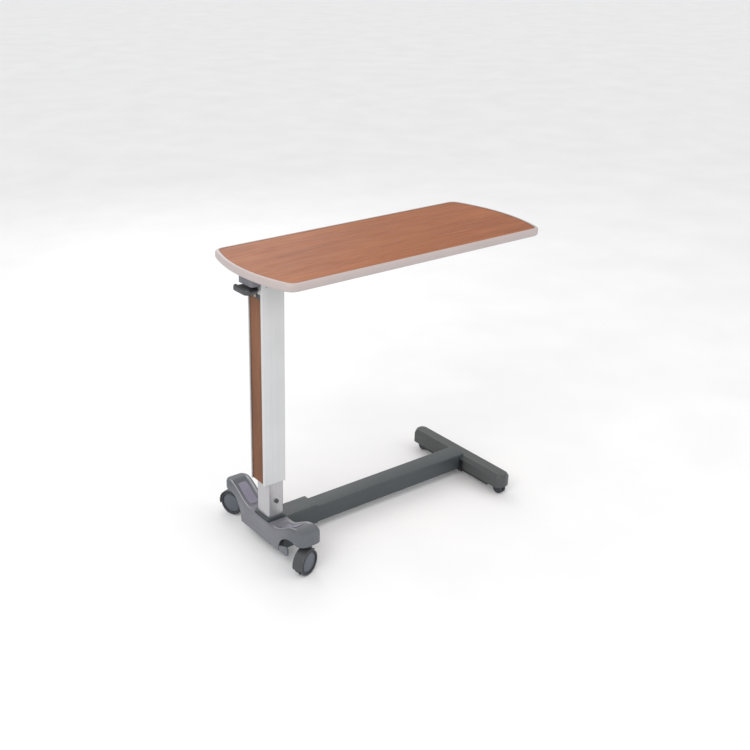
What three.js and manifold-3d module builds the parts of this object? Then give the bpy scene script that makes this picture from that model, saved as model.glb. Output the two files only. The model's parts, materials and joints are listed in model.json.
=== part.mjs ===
// Overbed table: a laminate top on a telescopic column, carried by an H-shaped base on four
// twin-wheel casters.  Millimetres, +Z up.  +X runs from the column end to the free end of the
// top.  The finished group's origin is on the floor, at the middle of the footprint box; the
// dimensions below are measured from the middle of the top, with the floor at FLOOR.
import * as THREE from 'three';
import { mergeVertices } from 'three/addons/utils/BufferGeometryUtils.js';
import Module from 'manifold-3d';

const wasm = await Module();
wasm.setup();

// ---------------------------------------------------------------- driving dimensions
const GAP = 0.3;            // air between a piece and its neighbour
const FLOOR = -10;

const TOP_LENGTH = 900;
const TOP_WIDTH = 356;
const TOP_BOW = 34;         // how far each short end bulges
const TOP_CORNER = 32;
const TOP_SURFACE = 800;
const TOP_UNDERSIDE = 780;
const BAND_WIDTH = 8;
const BAND_LIP = 1.2;       // how far the edge band stands above the working surface

const COLUMN_X = -372.5;    // middle of the outer column
const COLUMN_DEPTH = 70;
const COLUMN_WIDTH = 67;
const COLUMN_BOTTOM = 189;
const COLUMN_TOP = 774;
const COLUMN_RADIUS = 4;
const STRIP_WIDTH = 55;     // recessed front strip
const STRIP_RECESS = 7;
const STRIP_TOP = 716;
const BEZEL_LOW = 731;      // the recess is closed by a bezel from here up
const CAVITY_FRONT = -398.5; // inside of the outer column
const CAVITY_BACK = -339.5;
const CAVITY_HALF = 31.5;

const TUBE_FRONT = -392;    // fixed inner tube
const TUBE_BACK = -341;
const TUBE_HALF = 28.5;
const TUBE_RADIUS = 7;
const TUBE_WALL = 2.5;
const TUBE_BOTTOM = 66.6;
const TUBE_TOP = 600;
const TUBE_X = (TUBE_FRONT + TUBE_BACK) / 2;

const COLLAR_FRONT = -397;
const COLLAR_BACK = -337.4;
const COLLAR_HALF = 36;
const COLLAR_TOP = 84.5;

const BOLT_Z = 130;         // lower fixing of the gas spring
const GAS_RADIUS = 14;
const GAS_TOP = 545;
const ROD_RADIUS = 5;
const ROD_TOP = 742;
const PIN_RADIUS = 2;

const LEVER_PIVOT = [-392, 752];
const PADDLE_TIP = -454;
const PADDLE_BACK = -410.5;
const PADDLE_HALF = 34;
const PADDLE_LOW = 738;
const PADDLE_FLOOR = 746.5; // the paddle is dished behind its lip
const PADDLE_LIP = 752;
const HOUSING_LOW = 757;

const BEAM_HALF = 29;
const BEAM_LOW = 12;
const BEAM_HIGH = 62;
const BEAM_WALL = 2.5;

const FOOT_FRONT = -406;    // moulded cover of the near foot, across X
const FOOT_BACK = -334;
const FOOT_LOW = 20;
const FOOT_WAIST = 75;
const FOOT_HUMP = 117;
const FOOT_SKIRT = 77;      // lower edge of the cover over each caster
const FOOT_FRONT_END = 201; // the front end is longer and squarer than the rear one
const FOOT_FRONT_CORNER = 22;
const FOOT_REAR_END = 191;
const FOOT_REAR_CORNER = 34;
const WAIST_HALF = 62;
const HUMP_PEAK = 165;
const FOOT_WALL = 3;
const RIDGE_STEP = 8;       // pitch of the points along the cover's ridge
const CHASSIS_TOP = 66.3;
const PLATE_LOW = 92;       // chassis plates over the casters
const PLATE_HIGH = 98;

const CASTER_X = -368;
const CASTER_Y = [-181, 175]; // front, rear
const CASTER_TRAIL = 12;
const WHEEL_RADIUS = 36;
const WHEEL_WIDTH = 12;
const WHEEL_INNER = 3;      // from the caster's middle plane to the wheel
const HUB_RADIUS = 28.5;
const HOOD_RADIUS = 39.5;
const FRONT_CASTER_TURN = THREE.MathUtils.degToRad(-70);
const REAR_CASTER_TURN = THREE.MathUtils.degToRad(200);

const FAR_X = 343.5;
const FAR_HALF = 26.5;
const FAR_LOW = 17;
const FAR_HIGH = 58;
const FAR_SHOULDER = 46;
const FAR_SHELL_END = 179.5;
const FAR_END = 197;
const FAR_CORNER = 17;
const FAR_CASTER_Y = 170;
const FAR_TRAIL = 5;
const FAR_WHEEL_RADIUS = 17.5;
const FAR_WHEEL_WIDTH = 8;
const FAR_WHEEL_INNER = 2.5;

const FRAME_SHIFT = [2, -7.905, -FLOOR]; // puts the footprint's middle on the origin

// ---------------------------------------------------------------- finishes
const finish = (color, roughness, metalness) => new THREE.MeshStandardMaterial({ color, roughness, metalness });
const LAMINATE = finish(0xb26b4b, 0.45, 0);
const STRIP_WOOD = finish(0x8c6148, 0.5, 0);
const EDGE_PLASTIC = finish(0xc8bcba, 0.5, 0);
const SILVER_PAINT = finish(0xd2d4d4, 0.4, 0.3);
const CREAM_PLASTIC = finish(0xc9bfa8, 0.5, 0);
const COVER_PLASTIC = finish(0x7e7d86, 0.55, 0);
const INLAY_PLASTIC = finish(0xa5a3b2, 0.4, 0);
const DARK_PAINT = finish(0x55595b, 0.5, 0.2);
const FOOT_PAINT = finish(0x66696b, 0.5, 0.2);
const DARK_PLASTIC = finish(0x464648, 0.5, 0);
const BLACK_PLASTIC = finish(0x1c1c1e, 0.6, 0);
const TYRE_RUBBER = finish(0x2e3034, 0.8, 0);
const HUB_PLASTIC = finish(0x6a6f7c, 0.5, 0);
const ZINC = finish(0xb4b6b8, 0.35, 0.9);
const WHITE_PLASTIC = finish(0xdedede, 0.5, 0);

// ---------------------------------------------------------------- solids
function toSolid(geometry) {
  const bare = geometry.clone();
  bare.deleteAttribute('normal');
  bare.deleteAttribute('uv');
  const merged = mergeVertices(bare, 1e-4);
  return new wasm.Manifold(new wasm.Mesh({
    numProp: 3,
    vertProperties: new Float32Array(merged.attributes.position.array),
    triVerts: new Uint32Array(merged.index.array),
  }));
}

function toGeometry(solid) {
  const mesh = solid.getMesh();
  const geometry = new THREE.BufferGeometry();
  geometry.setAttribute('position', new THREE.BufferAttribute(mesh.vertProperties, 3));
  geometry.setIndex(new THREE.BufferAttribute(mesh.triVerts, 1));
  return geometry;
}

const join = (first, ...rest) => toGeometry(rest.reduce((sum, g) => sum.add(toSolid(g)), toSolid(first)));
const cut = (first, ...rest) => toGeometry(rest.reduce((sum, g) => sum.subtract(toSolid(g)), toSolid(first)));
const common = (first, ...rest) => toGeometry(rest.reduce((sum, g) => sum.intersect(toSolid(g)), toSolid(first)));

function polygon(points) {
  return new THREE.Shape(points.map(([x, y]) => new THREE.Vector2(x, y)));
}

function roundedRect(x0, x1, y0, y1, r) {
  const shape = new THREE.Shape();
  shape.absarc(x1 - r, y0 + r, r, -Math.PI / 2, 0);
  shape.absarc(x1 - r, y1 - r, r, 0, Math.PI / 2);
  shape.absarc(x0 + r, y1 - r, r, Math.PI / 2, Math.PI);
  shape.absarc(x0 + r, y0 + r, r, Math.PI, 1.5 * Math.PI);
  shape.closePath();
  return shape;
}

// Extrusions along each axis: an XY outline rises along Z, a YZ outline runs along X, and an XZ
// outline runs along Y.  A bevel [size, thickness, segments] rounds the rims inside the outline.
function extrude(shape, length, bevel, curveSegments) {
  const [size, thickness, segments] = bevel ?? [0, 0, 0];
  const geometry = new THREE.ExtrudeGeometry(shape, {
    depth: length - 2 * thickness,
    bevelEnabled: Boolean(bevel),
    bevelSize: size,
    bevelOffset: -size,
    bevelThickness: thickness,
    bevelSegments: segments,
    curveSegments,
  });
  return geometry.translate(0, 0, thickness);
}

function prismZ(shape, z0, z1, { bevel, curveSegments = 2 } = {}) {
  return extrude(shape, z1 - z0, bevel, curveSegments).translate(0, 0, z0);
}

const YZ_ALONG_X = new THREE.Matrix4().makeBasis(
  new THREE.Vector3(0, 1, 0), new THREE.Vector3(0, 0, 1), new THREE.Vector3(1, 0, 0));
const XZ_ALONG_Y = new THREE.Matrix4().makeBasis(
  new THREE.Vector3(1, 0, 0), new THREE.Vector3(0, 0, 1), new THREE.Vector3(0, -1, 0));

function prismX(shape, x0, x1, { bevel, curveSegments = 2 } = {}) {
  return extrude(shape, x1 - x0, bevel, curveSegments).applyMatrix4(YZ_ALONG_X).translate(x0, 0, 0);
}

function prismY(shape, y0, y1, { bevel, curveSegments = 2 } = {}) {
  return extrude(shape, y1 - y0, bevel, curveSegments).applyMatrix4(XZ_ALONG_Y).translate(0, y1, 0);
}

function box(x0, x1, y0, y1, z0, z1) {
  return new THREE.BoxGeometry(x1 - x0, y1 - y0, z1 - z0)
    .translate((x0 + x1) / 2, (y0 + y1) / 2, (z0 + z1) / 2);
}

// Round bars: the axis is Z, X or Y.
function rodZ(r, z0, z1, segments = 20) {
  return new THREE.CylinderGeometry(r, r, z1 - z0, segments).rotateX(Math.PI / 2).translate(0, 0, (z0 + z1) / 2);
}

function rodX(r, x0, x1, segments = 20) {
  return new THREE.CylinderGeometry(r, r, x1 - x0, segments).rotateZ(Math.PI / 2).translate((x0 + x1) / 2, 0, 0);
}

function rodY(r, y0, y1, segments = 20) {
  return new THREE.CylinderGeometry(r, r, y1 - y0, segments).translate(0, (y0 + y1) / 2, 0);
}

// A profile of [radius, height] pairs turned about Z, listed anticlockwise in the (r, z) plane.
function turned(profile, segments = 32) {
  return new THREE.LatheGeometry(profile.map(([r, z]) => new THREE.Vector2(r, z)), segments).rotateX(Math.PI / 2);
}

// ---------------------------------------------------------------- scene graph
const table = new THREE.Group();
table.position.fromArray(FRAME_SHIFT);

function part(name, geometry, material, { at = [0, 0, 0], parent = table } = {}) {
  const mesh = new THREE.Mesh(geometry, material);
  mesh.name = name;
  mesh.position.fromArray(at);
  parent.add(mesh);
  return mesh;
}

// ---------------------------------------------------------------- top
// Plan of the top, drawn inside its true outline by `inset`: straight long sides, bowed ends and
// rounded corners.
function topOutline(inset) {
  const half = TOP_WIDTH / 2 - inset;
  const end = TOP_LENGTH / 2 - inset;
  const corner = TOP_CORNER - inset;
  const bowRadius = (half * half + TOP_BOW * TOP_BOW) / (2 * TOP_BOW);
  const bowCentre = end - bowRadius;
  const cornerY = half - corner;
  const cornerX = bowCentre + Math.sqrt((bowRadius - corner) ** 2 - cornerY ** 2);
  const turn = Math.atan2(cornerY, cornerX - bowCentre);
  const shape = new THREE.Shape();
  for (const side of [0, Math.PI]) {
    const s = Math.cos(side);
    shape.absarc(s * cornerX, -s * cornerY, corner, side - Math.PI / 2, side - turn);
    shape.absarc(s * bowCentre, 0, bowRadius, side - turn, side + turn);
    shape.absarc(s * cornerX, s * cornerY, corner, side + turn, side + Math.PI / 2);
  }
  shape.closePath();
  return shape;
}

const SCREWS = [[-330, -80], [-330, 80], [250, -80], [250, 80]];
const SCREW_RADIUS = 2;
const RAIL_LOW = 764.5;

function tabletopEdge() {
  const curveSegments = 5;
  const outer = prismZ(topOutline(0), TOP_UNDERSIDE, TOP_SURFACE + BAND_LIP, { bevel: [5, 6, 3], curveSegments });
  return cut(outer, prismZ(topOutline(BAND_WIDTH), TOP_UNDERSIDE - 5, TOP_SURFACE + 5, { curveSegments }));
}

function tabletopBoard() {
  const board = prismZ(topOutline(BAND_WIDTH + GAP), TOP_UNDERSIDE + GAP, TOP_SURFACE, { curveSegments: 5 });
  const holes = SCREWS.map(([x, y]) => rodZ(SCREW_RADIUS + GAP, 770, 793, 12).translate(x, y, 0));
  return cut(board, ...holes);
}

function buildTop() {
  part('tabletop_edge', tabletopEdge(), EDGE_PLASTIC);
  part('tabletop_board', tabletopBoard(), LAMINATE);
  for (const [name, side] of [['front', -1], ['rear', 1]]) {
    const section = polygon([[-12.5, RAIL_LOW], [12.5, RAIL_LOW], [12.5, TOP_UNDERSIDE - GAP], [-12.5, TOP_UNDERSIDE - GAP]]);
    const hollow = box(-410, 340, -11, 11, RAIL_LOW + 1.5, TOP_UNDERSIDE - GAP - 1.5);
    const holes = SCREWS.filter(([, y]) => Math.sign(y) === side)
      .map(([x]) => rodZ(SCREW_RADIUS + GAP, 760, 790, 12).translate(x, 0, 0));
    part(`top_rail_${name}`, cut(prismX(section, -402, 330), hollow, ...holes), DARK_PAINT, { at: [0, side * 80, 0] });
  }
  SCREWS.forEach(([x, y], i) => {
    const screw = join(rodZ(5, RAIL_LOW - 3.5, RAIL_LOW - GAP, 12), rodZ(SCREW_RADIUS, RAIL_LOW - 1, 791, 12));
    part(`top_screw_${i + 1}`, screw, ZINC, { at: [x, y, 0] });
  });
  part('head_plate', box(-407, -290, -67.2, 67.2, COLUMN_TOP + GAP, TOP_UNDERSIDE - GAP), DARK_PAINT);
}

// ---------------------------------------------------------------- moving column
const COLUMN_FRONT = COLUMN_X - COLUMN_DEPTH / 2;
const RECESS_FLOOR = COLUMN_FRONT + STRIP_RECESS;
const WINDOW = [-14, 14, 736, 766]; // opening for the lever's arm: y0, y1, z0, z1
const CAP_SCREW_Z = (STRIP_TOP + BEZEL_LOW) / 2;

// Plan of whatever fills the outer column's cavity with `clear` of air all round.
function cavityFill(clear, radius) {
  return roundedRect(CAVITY_FRONT + clear, CAVITY_BACK - clear, clear - CAVITY_HALF, CAVITY_HALF - clear, radius);
}

function outerColumn() {
  const back = COLUMN_X + COLUMN_DEPTH / 2;
  const half = COLUMN_WIDTH / 2;
  const tube = prismZ(roundedRect(COLUMN_FRONT, back, -half, half, COLUMN_RADIUS), COLUMN_BOTTOM, COLUMN_TOP);
  const cavity = prismZ(cavityFill(0, 2), COLUMN_BOTTOM - 5, COLUMN_TOP + 5);
  const recessHalf = STRIP_WIDTH / 2;
  const recess = box(COLUMN_FRONT - 5, RECESS_FLOOR, -recessHalf, recessHalf, COLUMN_BOTTOM - 5, COLUMN_TOP + 5);
  const window = box(COLUMN_FRONT - 5, CAVITY_FRONT + 5, ...WINDOW);
  const screwHole = rodX(2 + GAP, RECESS_FLOOR - 5, CAVITY_FRONT + 5).translate(0, 0, CAP_SCREW_Z);
  const pinHoles = rodY(3 + GAP, -half - 5, half + 5).translate(LEVER_PIVOT[0], 0, LEVER_PIVOT[1]);
  return cut(tube, cavity, recess, window, screwHole, pinHoles);
}

function buildMovingColumn() {
  const rest = RECESS_FLOOR - GAP;
  const stripHalf = STRIP_WIDTH / 2 - GAP;
  part('outer_column', outerColumn(), SILVER_PAINT);
  part('column_strip', box(rest - 3.5, rest, -stripHalf, stripHalf, COLUMN_BOTTOM + 2, STRIP_TOP), STRIP_WOOD);
  const cap = box(rest - 3.5, rest, -stripHalf, stripHalf, STRIP_TOP + GAP, BEZEL_LOW);
  part('strip_cap', cut(cap, rodX(2 + GAP, -420, -390).translate(0, 0, CAP_SCREW_Z)), DARK_PAINT);
  const screw = join(rodX(5, rest - 6, rest - 3.5 - GAP, 18), rodX(2, rest - 4.5, CAVITY_FRONT));
  part('cap_screw', screw, CREAM_PLASTIC, { at: [0, 0, CAP_SCREW_Z] });
  const bezel = box(COLUMN_FRONT, rest, -stripHalf, stripHalf, BEZEL_LOW + GAP, COLUMN_TOP);
  part('column_bezel', cut(bezel, box(COLUMN_FRONT - 5, rest + 5, ...WINDOW)), SILVER_PAINT);

  const ring = prismZ(cavityFill(GAP, 2), COLUMN_BOTTOM + 3, COLUMN_BOTTOM + 28);
  const bore = prismZ(tubeSection(-0.5), COLUMN_BOTTOM, COLUMN_BOTTOM + 40);
  part('lower_glide', cut(ring, bore), BLACK_PLASTIC);

  const block = prismZ(cavityFill(GAP, 2), 720, 734);
  part('head_block', cut(block, rodZ(ROD_RADIUS + GAP, 700, 750).translate(TUBE_X, 0, 0)), DARK_PAINT);
}

// ---------------------------------------------------------------- gas spring
const PIN_LOW = 729;
const PIN_HIGH = 746;

function buildGasSpring() {
  const low = BOLT_Z + 16;
  const body = turned([[0, low], [GAS_RADIUS, low], [GAS_RADIUS, GAS_TOP], [12, GAS_TOP], [12, low + 4], [0, low + 4]], 24);
  const lug = cut(box(-10, 10, -9, 9, BOLT_Z - 11, low + 1), rodY(4 + GAP, -20, 20).translate(0, 0, BOLT_Z));
  part('gas_cylinder', join(body, lug), BLACK_PLASTIC, { at: [TUBE_X, 0, 0] });

  const gland = [[ROD_RADIUS + GAP, GAS_TOP + GAP], [GAS_RADIUS, GAS_TOP + GAP], [GAS_RADIUS, GAS_TOP + 7],
    [10, GAS_TOP + 11], [ROD_RADIUS + GAP, GAS_TOP + 11], [ROD_RADIUS + GAP, GAS_TOP + GAP]];
  part('gas_gland', turned(gland, 24), ZINC, { at: [TUBE_X, 0, 0] });

  const rod = [[0, 160], [11.6, 160], [11.6, 172], [ROD_RADIUS, 172], [ROD_RADIUS, ROD_TOP],
    [PIN_RADIUS + 0.4, ROD_TOP], [PIN_RADIUS + 0.4, PIN_LOW - 6], [0, PIN_LOW - 6]];
  part('gas_rod', turned(rod, 20), ZINC, { at: [TUBE_X, 0, 0] });
  part('release_pin', rodZ(PIN_RADIUS, PIN_LOW, PIN_HIGH, 14), ZINC, { at: [TUBE_X, 0, 0] });

  const bolt = join(rodY(6, -TUBE_HALF - 4.5, -TUBE_HALF - GAP, 18), rodY(4, -TUBE_HALF - 1, TUBE_HALF + 6));
  part('gas_bolt', bolt, DARK_PLASTIC, { at: [TUBE_X, 0, BOLT_Z] });
  const nut = cut(rodY(7, TUBE_HALF + GAP, TUBE_HALF + 6.5, 6), rodY(4 + GAP, 20, 50));
  part('gas_nut', nut, ZINC, { at: [TUBE_X, 0, BOLT_Z] });
}

// ---------------------------------------------------------------- release lever
// Plan of the paddle: a broad rounded bar that narrows a little towards the column.
function paddleOutline() {
  const corner = 14;
  const narrow = 24;
  const shape = new THREE.Shape();
  shape.moveTo(PADDLE_BACK, narrow);
  shape.lineTo(PADDLE_BACK, -narrow);
  shape.bezierCurveTo(PADDLE_BACK - 3, -30, PADDLE_BACK - 8, -PADDLE_HALF, PADDLE_BACK - 16, -PADDLE_HALF);
  shape.absarc(PADDLE_TIP + corner, corner - PADDLE_HALF, corner, -Math.PI / 2, -Math.PI, true);
  shape.absarc(PADDLE_TIP + corner, PADDLE_HALF - corner, corner, Math.PI, Math.PI / 2, true);
  shape.lineTo(PADDLE_BACK - 16, PADDLE_HALF);
  shape.bezierCurveTo(PADDLE_BACK - 8, PADDLE_HALF, PADDLE_BACK - 3, 30, PADDLE_BACK, narrow);
  return shape;
}

function releaseLever() {
  const arm = prismY(polygon([[-358, 746.7], [-358, 753], [-382, 756], [-399, 756], [-409, 752.5], [-424, 746],
    [-424, 740], [-409, 741], [-399, 746.7]]), -11, 11);
  const block = prismZ(paddleOutline(), PADDLE_LOW, PADDLE_LIP, { bevel: [3.5, 4.5, 3], curveSegments: 4 });
  const dish = box(PADDLE_TIP + 12, PADDLE_BACK + 10, -PADDLE_HALF - 5, PADDLE_HALF + 5, PADDLE_FLOOR, PADDLE_LIP + 5);
  const bore = rodY(3 + GAP, -20, 20).translate(LEVER_PIVOT[0], 0, LEVER_PIVOT[1]);
  return cut(join(cut(block, dish), arm), bore);
}

function leverHousing() {
  const plan = (inset) => {
    const back = COLUMN_FRONT - GAP - inset;
    const front = -436 + inset;
    const half = 32 - inset;
    const corner = 9 - inset;
    const shape = new THREE.Shape();
    shape.moveTo(back, half);
    shape.absarc(front + corner, half - corner, corner, Math.PI / 2, Math.PI);
    shape.absarc(front + corner, corner - half, corner, Math.PI, 1.5 * Math.PI);
    shape.lineTo(back, -half);
    return shape;
  };
  const curveSegments = 4;
  const shell = prismZ(plan(0), HOUSING_LOW, TOP_UNDERSIDE - GAP, { curveSegments });
  return cut(shell, prismZ(plan(2.5), HOUSING_LOW - 5, TOP_UNDERSIDE - 3, { curveSegments }));
}

function buildLever() {
  part('release_lever', releaseLever(), DARK_PLASTIC);
  part('lever_pin', rodY(3, -COLUMN_WIDTH / 2, COLUMN_WIDTH / 2, 16), ZINC, { at: [LEVER_PIVOT[0], 0, LEVER_PIVOT[1]] });
  part('lever_housing', leverHousing(), COVER_PLASTIC);
}

// ---------------------------------------------------------------- fixed column
// Plan of the inner tube, drawn inside its true outline by `inset`.
function tubeSection(inset) {
  return roundedRect(
    TUBE_FRONT + inset, TUBE_BACK - inset, inset - TUBE_HALF, TUBE_HALF - inset, TUBE_RADIUS - inset);
}

function buildFixedColumn() {
  const curveSegments = 3;
  const boltHole = rodY(4 + GAP, -50, 50).translate(TUBE_X, 0, BOLT_Z);
  const tube = prismZ(tubeSection(0), TUBE_BOTTOM, TUBE_TOP, { curveSegments });
  const hollow = prismZ(tubeSection(TUBE_WALL), TUBE_BOTTOM - 5, TUBE_TOP + 5, { curveSegments });
  part('inner_column', cut(tube, hollow, boltHole), SILVER_PAINT);

  const cap = prismZ(cavityFill(0.5, 3), TUBE_TOP + GAP, TUBE_TOP + 18);
  const passage = box(TUBE_X - 17, TUBE_X + 17, -20, 20, TUBE_TOP - 5, TUBE_TOP + 30);
  part('upper_glide', cut(cap, passage), WHITE_PLASTIC);

  const collar = prismZ(roundedRect(COLLAR_FRONT, COLLAR_BACK, -COLLAR_HALF, COLLAR_HALF, 8), CHASSIS_TOP + GAP, COLLAR_TOP);
  const bore = prismZ(tubeSection(-0.4), 50, COLLAR_TOP + 10, { curveSegments });
  part('column_collar', cut(collar, bore), DARK_PAINT);
}

// ---------------------------------------------------------------- near foot
// Height of the cover's ridge at a distance y from its middle: a flat waist, an S-curve up to the
// hump over the caster and a fall to the end.
function ridge(y) {
  const a = Math.abs(y);
  if (a <= WAIST_HALF) return FOOT_WAIST;
  if (a <= HUMP_PEAK) {
    const t = (a - WAIST_HALF) / (HUMP_PEAK - WAIST_HALF);
    return FOOT_WAIST + (FOOT_HUMP - FOOT_WAIST) * t * t * (3 - 2 * t);
  }
  return FOOT_HUMP - 6 * ((a - HUMP_PEAK) / 31) ** 2;
}

// Points of the ridge from y0 to y1, raised by `lift`.  Between its ends the points fall on one
// common pitch, so that pieces which follow the ridge stay parallel.
function ridgePoints(y0, y1, lift) {
  const points = [[y0, ridge(y0) + lift]];
  for (let i = Math.floor(y0 / RIDGE_STEP) + 1; i * RIDGE_STEP < y1; i++) {
    const y = i * RIDGE_STEP;
    if (Math.abs(y) > WAIST_HALF - RIDGE_STEP) points.push([y, ridge(y) + lift]);
  }
  points.push([y1, ridge(y1) + lift]);
  return points;
}

// The two wheel arches as prisms to cut away, moved inwards by `inset`.
function wheelArches(inset) {
  const steps = 9;
  const crown = 150;
  const start = 114;
  const side = (sign) => {
    const points = [[300, -60], [300, FOOT_SKIRT + inset]];
    for (let i = steps; i >= 0; i--) {
      const t = (Math.PI / 2) * i / steps;
      points.push([crown - inset - (crown - start) * Math.cos(t), FOOT_LOW + inset + (FOOT_SKIRT - FOOT_LOW) * Math.sin(t)]);
    }
    points.push([start - inset, -60]);
    const signed = points.map(([y, z]) => [sign * y, z]);
    return prismX(polygon(sign > 0 ? signed : signed.reverse()), -450, -300);
  };
  return [side(1), side(-1)];
}

// Plan of the cover, drawn inside its true outline by `inset`.
function coverPlan(inset) {
  const shape = new THREE.Shape();
  const left = FOOT_FRONT + inset;
  const right = FOOT_BACK - inset;
  const ends = [[-1, FOOT_FRONT_END - inset, FOOT_FRONT_CORNER - inset], [1, FOOT_REAR_END - inset, FOOT_REAR_CORNER - inset]];
  for (const [side, end, corner] of ends) {
    const [first, second] = side < 0 ? [left + corner, right - corner] : [right - corner, left + corner];
    const start = side < 0 ? Math.PI : 0;
    shape.absarc(first, side * (end - corner), corner, start, start + Math.PI / 2);
    shape.absarc(second, side * (end - corner), corner, start + Math.PI / 2, start + Math.PI);
  }
  shape.closePath();
  return shape;
}

// The cover's outside as a solid, drawn inside its true surface by `inset` and down to `low`: the
// ridge profile across X with rounded shoulders, inside the plan.
function coverBlank(inset, low) {
  const beyond = FOOT_FRONT_END + 40;
  const last = FOOT_FRONT_END + 4;
  const profile = [[-beyond, -60], [beyond, -60], [beyond, ridge(last) - inset],
    ...ridgePoints(-last, last, -inset).reverse(), [-beyond, ridge(last) - inset]];
  const x0 = FOOT_FRONT + inset;
  const x1 = FOOT_BACK - inset;
  const lengthwise = prismX(polygon(profile), x0, x1, { bevel: [9 - inset / 3, 13 - inset, 3] });
  const bevel = [13 - inset, 14 - inset, 3];
  const upright = prismZ(coverPlan(inset), -60, FOOT_HUMP + 1 - inset, { bevel, curveSegments: 7 });
  return cut(common(lengthwise, upright), box(-450, -300, -300, 300, -80, low), ...wheelArches(inset));
}

function footCover() {
  const socketHole = box(
    COLLAR_FRONT - GAP, COLLAR_BACK + GAP, -COLLAR_HALF - GAP, COLLAR_HALF + GAP, FOOT_WAIST - 15, FOOT_WAIST + 20);
  const beamHole = box(-345, FOOT_BACK + 10, -BEAM_HALF - 0.5, BEAM_HALF + 0.5, 0, BEAM_HIGH + 0.5);
  const stemHoles = CASTER_Y.map((y) => rodZ(12, FOOT_SKIRT - 5, FOOT_SKIRT + FOOT_WALL + 3, 24).translate(CASTER_X, y, 0));
  return cut(coverBlank(0, FOOT_LOW), coverBlank(FOOT_WALL, -70), socketHole, beamHole, ...stemHoles);
}

function coverInlay(side) {
  const from = side > 0 ? 78 : -138;
  const to = side > 0 ? 138 : -78;
  const outline = [...ridgePoints(from, to, 0.4), ...ridgePoints(from, to, 2.2).reverse()];
  return prismX(polygon(outline), -392, -364);
}

function footChassis() {
  const half = [[0, 26], [104, 26], [109, 55], [131, PLATE_LOW], [200, PLATE_LOW], [200, PLATE_HIGH],
    [128, PLATE_HIGH], [95, CHASSIS_TOP], [0, CHASSIS_TOP]];
  const mirrored = half.slice(1, -1).reverse().map(([y, z]) => [-y, z]);
  const bar = prismX(polygon([...half, ...mirrored]), -394, -346);
  const plan = prismZ(roundedRect(-395, -345, -192, 184, 18), 0, 120, { curveSegments: 6 });
  const stemHoles = CASTER_Y.map((y) => rodZ(5 + GAP, 80, 110).translate(CASTER_X, y, 0));
  return cut(common(bar, plan), ...stemHoles);
}

function buildNearFoot() {
  part('foot_chassis', footChassis(), DARK_PAINT);
  part('foot_cover', footCover(), COVER_PLASTIC);
  part('cover_inlay_front', coverInlay(-1), INLAY_PLASTIC);
  part('cover_inlay_rear', coverInlay(1), INLAY_PLASTIC);
}

// ---------------------------------------------------------------- beam and far foot
function farSection(inset, low) {
  const half = FAR_HALF - inset;
  const flat = 17 - inset * 0.5;
  return polygon([[-half, low], [half, low], [half, FAR_SHOULDER - inset * 0.5], [flat, FAR_HIGH - inset],
    [-flat, FAR_HIGH - inset], [-half, FAR_SHOULDER - inset * 0.5]]);
}

function farCap(side) {
  const plan = (inset) => {
    const corner = FAR_CORNER - inset;
    const half = FAR_HALF - inset;
    const start = FAR_SHELL_END + GAP - (inset ? 10 : 0);
    const shape = new THREE.Shape();
    shape.moveTo(-half, start);
    shape.lineTo(half, start);
    shape.absarc(half - corner, FAR_END - inset - corner, corner, 0, Math.PI / 2);
    shape.absarc(corner - half, FAR_END - inset - corner, corner, Math.PI / 2, Math.PI);
    return shape;
  };
  const block = prismZ(plan(0), FAR_LOW, FAR_HIGH, { curveSegments: 3 });
  const outside = prismY(farSection(0, FAR_LOW - 5), 0, 300);
  const hollow = cut(common(block, outside), prismZ(plan(3), FAR_LOW - 5, FAR_SHOULDER - 2, { curveSegments: 3 }));
  return side > 0 ? hollow : hollow.rotateZ(Math.PI);
}

function buildBeam() {
  const section = roundedRect(-BEAM_HALF, BEAM_HALF, BEAM_LOW, BEAM_HIGH, 4);
  const hollow = roundedRect(BEAM_WALL - BEAM_HALF, BEAM_HALF - BEAM_WALL, BEAM_LOW + BEAM_WALL, BEAM_HIGH - BEAM_WALL, 2);
  const farClearance = prismY(farSection(-GAP, -20), -100, 100).translate(FAR_X, 0, 0);
  const tube = cut(prismX(section, -345.7, 330), prismX(hollow, -360, 350), farClearance);
  part('beam', tube, DARK_PAINT);

  const outer = prismX(roundedRect(-34, 34, BEAM_LOW, 70.5, 5), FOOT_BACK + 0.4, -229);
  const slot = prismX(roundedRect(-BEAM_HALF - GAP, BEAM_HALF + GAP, -40, BEAM_HIGH + GAP, 4), -360, -220);
  part('beam_saddle', cut(outer, slot), DARK_PAINT);

  const flange = box(313.5, FAR_X - FAR_HALF - GAP, -42, 42, BEAM_LOW - 4, FAR_SHOULDER - 1);
  const clear = BEAM_HALF + GAP;
  const opening = prismX(roundedRect(-clear, clear, BEAM_LOW - GAP, BEAM_HIGH + GAP, 4), 300, 330);
  part('beam_flange', cut(flange, opening), BLACK_PLASTIC);
}

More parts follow.
